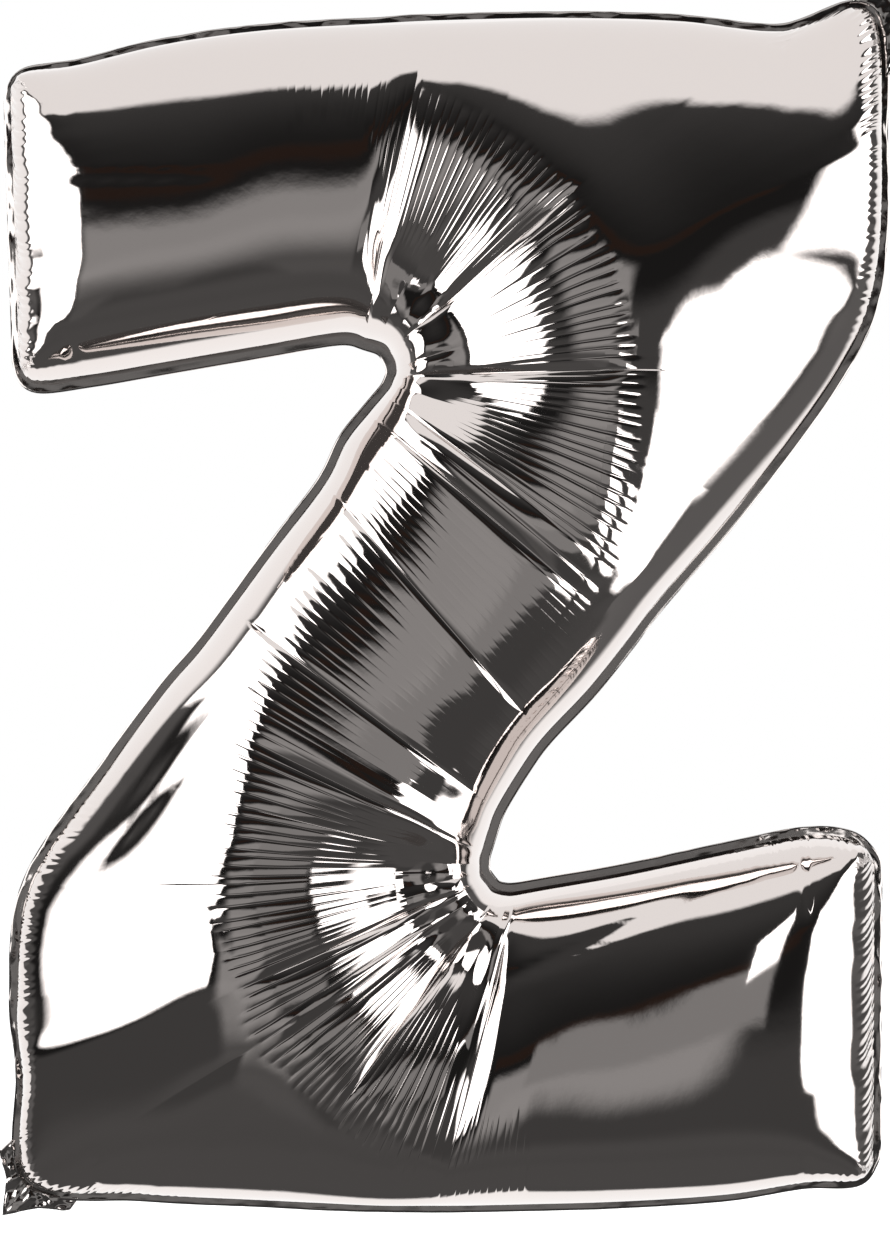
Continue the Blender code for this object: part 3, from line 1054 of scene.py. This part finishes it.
def flange_tree():
    """A crumpled strip swept along a closed path, with a point attribute that says how crumpled."""
    sizes = ("Inner edge", "Outer edge", "Thickness", "Spacing", "Crumple", "Wave length")
    inputs = [(label, "NodeSocketFloat") for label in sizes]
    tree = GeoTree("Crumpled strip", inputs + [("Material", "NodeSocketMaterial")])
    path = tree.add("GeometryNodeMeshToCurve", Mesh=tree.input("Geometry"))
    spacing = tree.input("Spacing")
    path = tree.add("GeometryNodeResampleCurve", 0, {"mode": "LENGTH"}, Curve=path, Length=spacing)
    path = tree.add("GeometryNodeSetCurveNormal", 0, {"mode": "FREE"}, Curve=path, Normal=(0, 1, 0))
    path, along = tree.captured(path, "Along", tree.add("GeometryNodeSplineParameter", "Length"))
    ends = [tree.add("ShaderNodeCombineXYZ", Y=tree.input(label)) for label in ("Inner edge", "Outer edge")]
    profile = tree.add("GeometryNodeCurvePrimitiveLine", Start=ends[0], End=ends[1])
    profile = tree.add("GeometryNodeResampleCurve", 0, {"mode": "COUNT"}, Curve=profile, Count=FLANGE_POINTS)
    profile, across = tree.captured(profile, "Across", tree.add("GeometryNodeSplineParameter", "Factor"))
    strip = tree.add("GeometryNodeCurveToMesh", Curve=path, Profile_Curve=profile)
    noise = tree.noise(along / tree.input("Wave length"), across * 0.6, 2.0)
    much = tree.add("GeometryNodeInputNamedAttribute", "Attribute", {"data_type": "FLOAT"}, Name="crumple")
    lift = (noise - 0.5) * 2 * across * much * tree.input("Crumple")
    offset = tree.add("ShaderNodeCombineXYZ", Y=lift)
    strip = tree.add("GeometryNodeSetPosition", Geometry=strip, Offset=offset)
    thickness = tree.input("Thickness")
    thick = tree.add("GeometryNodeExtrudeMesh", Mesh=strip, Offset_Scale=thickness, Individual=False)
    both = tree.tree.nodes.new("GeometryNodeJoinGeometry")
    for sheet in (thick, tree.add("GeometryNodeFlipFaces", Mesh=strip)):
        tree.tree.links.new(sheet.socket, both.inputs[0])
    joined = Wire(tree.tree, both.outputs[0])
    closed = tree.add("GeometryNodeMergeByDistance", Geometry=joined, Distance=FLANGE_MERGE)
    tree.finish(tree.add("GeometryNodeSetShadeSmooth", Geometry=closed, Shade_Smooth=True))
    return tree


def flange_mesh(settings, material):
    """The flange, swept round the seam's outline."""
    points, crumple = outline()
    following = np.roll(np.arange(len(points)), -1)
    mesh = bpy.data.meshes.new("seam_path")
    mesh.from_pydata([(x * MM, 0, z * MM) for x, z in points], list(enumerate(following.tolist())), [])
    mesh.attributes.new("crumple", "FLOAT", "POINT").data.foreach_set("value", crumple.astype(np.float32))
    return flange_tree().baked("seam_strip", mesh, {
        "Inner edge": -FLANGE_TUCK, "Outer edge": settings.flange_width, "Thickness": FLANGE_THICKNESS,
        "Spacing": FLANGE_SPACING, "Crumple": settings.flange_crumple, "Wave length": FLANGE_WAVE,
        "Material": material,
    })


def seam_teeth(nodes):
    """The height of the small gathers at the seam, from the film's own seam coordinates."""
    along, gap, much = nodes.parts(nodes.add("ShaderNodeAttribute", "Vector", {"attribute_name": "seam"}))
    uneven = nodes.noise(along * 60, gap * 20, 1.0)
    wave = (along * (2 * math.pi / TOOTH_WIDTH) + uneven * TOOTH_STRAY).math("SINE")
    near = (gap - much * TOOTH_REACH).smooth(*TOOTH_FADE)
    return wave * near * much.math("MINIMUM", 1) * uneven * TOOTH_HEIGHT


def new_material(name):
    """A material, and the tree of its nodes."""
    material = bpy.data.materials.new(name)
    material.use_nodes = True
    return material, Nodes(material.node_tree)


def film_material(name, color, roughness, crinkle, toothed=False):
    """Mirror metal with an uneven gloss, finely crinkled."""
    material, nodes = new_material(name)
    shader = nodes.tree.nodes["Principled BSDF"]
    place = nodes.add("ShaderNodeTexCoord", "Object")
    blotch = nodes.add("ShaderNodeTexNoise", Vector=place, Scale=9.0, Detail=3.0)
    fine = nodes.add("ShaderNodeTexNoise", Vector=place, Scale=60.0, Detail=4.0)
    height = fine * crinkle
    if toothed:
        height = height + seam_teeth(nodes)
    bump = nodes.add("ShaderNodeBump", Height=height, Strength=1.0, Distance=1.0)
    plug(nodes.tree, shader.inputs["Roughness"], blotch * roughness + roughness * 0.5)
    plug(nodes.tree, shader.inputs["Normal"], bump)
    shader.inputs["Base Color"].default_value = (*color, 1)
    shader.inputs["Metallic"].default_value = 1.0
    return material


class BalloonSettings(bpy.types.PropertyGroup):
    """The balloon's own sizes and colour"""

    fullness: FloatProperty(
        name="Fullness", description="How round the strokes are",
        default=0.88, min=0.5, max=1, subtype="FACTOR"
    )
    crease_depth: FloatProperty(
        name="Crease depth", description="Share of each crease's own depth",
        default=1.0, min=0, max=2, subtype="FACTOR"
    )
    pleat_slope: FloatProperty(
        name="Pleat slope", description="How steep a pleat's sides are where it is deepest",
        default=0.26, min=0, max=1, subtype="FACTOR"
    )
    cuff_height: FloatProperty(
        name="Cuff height", description="How far the gathered band stands out",
        default=1.2 * MM, min=0, max=8 * MM, unit="LENGTH"
    )
    ridge_height: FloatProperty(
        name="Ridge height", description="How far the fans stand out at the pleats' tips",
        default=12 * MM, min=0, max=30 * MM, unit="LENGTH"
    )
    pucker_height: FloatProperty(
        name="Pucker height", description="How high the waves at the seam stand",
        default=1.0 * MM, min=0, max=4 * MM, unit="LENGTH"
    )
    flange_width: FloatProperty(
        name="Flange width", description="The flat sealed strip outside the seam",
        default=6.3 * MM, min=1 * MM, max=12 * MM, unit="LENGTH"
    )
    flange_crumple: FloatProperty(
        name="Flange crumple", description="How far the strip waves out of its plane",
        default=3.5 * MM, min=0, max=10 * MM, unit="LENGTH"
    )
    film_color: FloatVectorProperty(
        name="Film colour", description="The metallised film",
        default=(0.75, 0.69, 0.665), subtype="COLOR", min=0, max=1
    )


class StudioSettings(bpy.types.PropertyGroup):
    """Where the camera stands"""

    camera_distance: FloatProperty(
        name="Camera distance", description="From the seam plane", default=3.0, min=1, unit="LENGTH"
    )


# columns: piece, node, side along Y, seed
FILMS = (("front_film", "front_panel", -1, 3), ("back_film", "back_panel", 1, 8))
# columns: piece, node, outer edge, seed
EARS = (
    ("top_right_ear", "corner_tab_top_right", EAR_TOP_RIGHT, 21),
    ("bottom_left_ear", "corner_tab_bottom_left", EAR_BOTTOM_LEFT, 34),
)


class BALLOON_OT_panels(bpy.types.Operator):
    """Build the front and back film, with their creases and pleats"""

    bl_idname = "balloon.panels"
    bl_label = "Film panels"

    def execute(self, context):
        settings = context.scene.balloon
        material = film_material("Mirror film", settings.film_color, 0.05, 0.06 * MM, toothed=True)
        for name, node, side, seed in FILMS:
            piece(name, film_mesh(name, side, seed, settings), node, material)
        return {"FINISHED"}


class BALLOON_OT_flange(bpy.types.Operator):
    """Sweep the crumpled flange round the seam"""

    bl_idname = "balloon.flange"
    bl_label = "Seam flange"

    def execute(self, context):
        settings = context.scene.balloon
        material = film_material("Flange film", FLANGE_COLOR, 0.12, 0.1 * MM)
        piece("seam_strip", flange_mesh(settings, material), "seam_flange", material)
        return {"FINISHED"}


class BALLOON_OT_ears(bpy.types.Operator):
    """Build the two crumpled ears and the filling tail"""

    bl_idname = "balloon.ears"
    bl_label = "Ears and filling tail"

    def execute(self, context):
        material = film_material("Ear film", EAR_COLOR, 0.1, 0.1 * MM)
        for name, node, outer, seed in EARS:
            piece(name, ear_mesh(name, outer, seed), node, material)
        tail = film_material("Tail film", TAIL_COLOR, 0.3, 0.05 * MM)
        piece("filling_tail", valve_mesh("filling_tail"), "filling_valve", tail)
        return {"FINISHED"}


# The camera's sensor in millimetres, then the studio in metres. The floor lies under the balloon by the gap.
SENSOR_HEIGHT = 24
FLOOR_SIZE = 8.0
FLOOR_GAP = 0.03
WARM_TINT = (1, 0.62, 0.48, 1)

# columns: name, centre, width and depth or height, strength, turn in degrees, soft edge
CARDS = (
    ("Left_light", (-0.75, -0.66, 0.15), (1.12, 0.96), 3.0, (90, -6.5, 90), 0.1),
    ("Left_back", (-0.76, -0.04, 0.42), (0.4, 0.44), 3.0, (90, 0, 90), 0.06),
    ("Fan_light", (0.35, -0.59, -0.09), (0.42, 0.24), 3.0, (90, 0, 90), 0.04),
    ("Right_light", (0.75, -0.34, -0.23), (0.7, 0.5), 3.0, (90, 0, 90), 0.06),
    ("Fan_card", (0.45, -1.5, -0.2), (0.7, 0.44), 0.25, (90, 0, 0), 0.08),
    ("Top_light", (0, 0.3, 1.5), (4.0, 3.4), 1.0, (180, 0, 0), 0.25),
)


def paint_world():
    """The room that the film mirrors: bright behind the balloon and dark before it, but for a few areas."""
    world = bpy.data.worlds.new("Studio")
    bpy.context.scene.world = world
    world.use_nodes = True
    nodes = Nodes(world.node_tree)
    background = nodes.tree.nodes["Background"]
    x, y, z = nodes.parts(nodes.add("ShaderNodeTexCoord", "Generated"))
    # Degrees from straight ahead of the film, more to the letter's right.
    turn = x.math("ARCTAN2", y * -1) * (180 / math.pi)
    # The bright room behind the balloon. Its edge lies further back at the sides, and clear of the floor.
    edge = y - x.math("ABSOLUTE").smooth(0.78, 0.95) * 0.25 - x.smooth(0.35, 0.65) * 0.25
    behind = edge.smooth(0.3, 0.5) + y.smooth(0.0, 0.2) * 0.07
    clear = (z + y * 0.3).smooth(-0.68, -0.6)
    # The dim floor, a faint band under the horizon, and a gloom that grows towards the ceiling.
    below = z.smooth(-0.45, -0.95) * 0.07
    dim = z.smooth(0.0, -0.15) * z.smooth(-0.9, -0.6) * 0.045
    gloom = z.smooth(0.15, 0.72) * 0.035 + 0.012
    # A grey table ahead, cut off at a slant on the right, with a warm glint over it.
    ahead = turn.smooth(-27, -18) * turn.smooth(38, 30)
    slant = (turn * 0.85 - z * 30).smooth(17, 9)
    table = z.smooth(0.13, 0.05) * slant * (z.smooth(-0.45, -0.05) * 0.25 + 0.035) * z.smooth(-0.75, -0.5)
    warm = ahead * z.smooth(0.14, 0.17) * z.smooth(0.24, 0.2)
    # A window on the right, whose upper edge rises with the turn.
    window = turn.smooth(47, 55) * turn.smooth(104, 97)
    window = window * z.smooth(-0.4, -0.3) * (z - turn * 0.007).smooth(-0.08, -0.17)
    light = behind * clear + below + ahead * table + dim + gloom + warm * 0.01 + window * 3.0
    # The camera itself sees plain white.
    camera = nodes.add("ShaderNodeLightPath", "Is Camera Ray")
    plug(nodes.tree, background.inputs["Strength"], light * (1 - camera) + camera)
    tint = nodes.add("ShaderNodeMix", 2, {"data_type": "RGBA"}, Factor=warm)
    for slot, color in ((6, (1, 1, 1, 1)), (7, WARM_TINT)):
        tint.socket.node.inputs[slot].default_value = color
    plug(nodes.tree, background.inputs["Color"], tint)


def flat_sheet(name, width, depth):
    """A rectangle round the origin, face up."""
    work = bmesh.new()
    bmesh.ops.create_grid(work, x_segments=1, y_segments=1, size=0.5)
    bmesh.ops.scale(work, vec=(width, depth, 1), verts=work.verts)
    mesh = bpy.data.meshes.new(name)
    work.to_mesh(mesh)
    work.free()
    return link(bpy.data.objects.new(name, mesh))


def add_card(name, center, size, strength, turn, soft):
    """A light card with soft edges that shows only in reflections. It is turned from flat and face up."""
    width, height = size
    card = flat_sheet(name, width, height)
    card.location = center
    card.rotation_euler = [math.radians(angle) for angle in turn]
    material, nodes = new_material(name)
    tree = nodes.tree
    tree.nodes.clear()
    across, along, _ = nodes.parts(nodes.add("ShaderNodeTexCoord", "Object"))
    inside = across.math("ABSOLUTE").smooth(width / 2, width / 2 - soft)
    inside = inside * along.math("ABSOLUTE").smooth(height / 2, height / 2 - soft)
    mixed = nodes.add("ShaderNodeMixShader", Fac=inside)
    glow = nodes.add("ShaderNodeEmission", Strength=strength)
    for slot, layer in ((1, nodes.add("ShaderNodeBsdfTransparent")), (2, glow)):
        plug(tree, mixed.socket.node.inputs[slot], layer)
    plug(tree, tree.nodes.new("ShaderNodeOutputMaterial").inputs["Surface"], mixed)
    card.data.materials.append(material)
    card.visible_camera = False
    card.visible_shadow = False


def add_floor():
    """A white floor that the film doesn't mirror."""
    floor = flat_sheet("Floor", FLOOR_SIZE, FLOOR_SIZE)
    floor.location = (0, 0, CAD_BOX[0][2] - FLOOR_GAP)
    floor.visible_glossy = False
    material, nodes = new_material("Floor")
    shader = nodes.tree.nodes["Principled BSDF"]
    shader.inputs["Base Color"].default_value = (0.9, 0.9, 0.9, 1)
    shader.inputs["Roughness"].default_value = 0.9
    shader.inputs["Emission Color"].default_value = (1, 1, 1, 1)
    shader.inputs["Emission Strength"].default_value = 0.72
    floor.data.materials.append(material)


def add_camera(distance):
    """A camera straight ahead of the middle of the photo's frame."""
    camera = link(bpy.data.objects.new("Camera", bpy.data.cameras.new("Camera")))
    camera.location = (0, -distance, (ORIGIN_ROW - FRAME_HEIGHT / 2) * PIXEL)
    camera.rotation_euler = (math.pi / 2, 0, 0)
    camera.data.sensor_fit = "VERTICAL"
    camera.data.sensor_height = SENSOR_HEIGHT
    camera.data.lens = SENSOR_HEIGHT * distance / (FRAME_HEIGHT * PIXEL)
    camera.data.clip_end = 100
    bpy.context.scene.camera = camera


class BALLOON_OT_studio(bpy.types.Operator):
    """Set up the floor, the light and the camera"""

    bl_idname = "balloon.studio"
    bl_label = "Studio"

    def execute(self, context):
        add_camera(context.scene.studio.camera_distance)
        paint_world()
        for card in CARDS:
            add_card(*card)
        add_floor()
        scene = context.scene
        scene.view_settings.view_transform = "Standard"
        scene.view_settings.look = "None"
        return {"FINISHED"}


OPERATORS = (BALLOON_OT_panels, BALLOON_OT_flange, BALLOON_OT_ears, BALLOON_OT_studio)


class BALLOON_PT_sidebar(bpy.types.Panel):
    """Lists the balloon's sizes and steps"""

    bl_label = "Foil balloon"
    bl_idname = "BALLOON_PT_sidebar"
    bl_space_type = "VIEW_3D"
    bl_region_type = "UI"
    bl_category = "Foil balloon"

    def draw(self, context):
        for settings in (context.scene.balloon, context.scene.studio):
            for name in settings.__annotations__:
                self.layout.prop(settings, name)
        for operator in OPERATORS:
            self.layout.operator(operator.bl_idname)


CLASSES = (BalloonSettings, StudioSettings, *OPERATORS, BALLOON_PT_sidebar)


def register():
    for cls in CLASSES:
        bpy.utils.register_class(cls)
    bpy.types.Scene.balloon = PointerProperty(type=BalloonSettings)
    bpy.types.Scene.studio = PointerProperty(type=StudioSettings)


def unregister():
    del bpy.types.Scene.studio
    del bpy.types.Scene.balloon
    for cls in reversed(CLASSES):
        bpy.utils.unregister_class(cls)


def main():
    register()
    bpy.ops.balloon.panels()
    bpy.ops.balloon.flange()
    bpy.ops.balloon.ears()
    bpy.ops.balloon.studio()


if __name__ == "__main__":
    main()
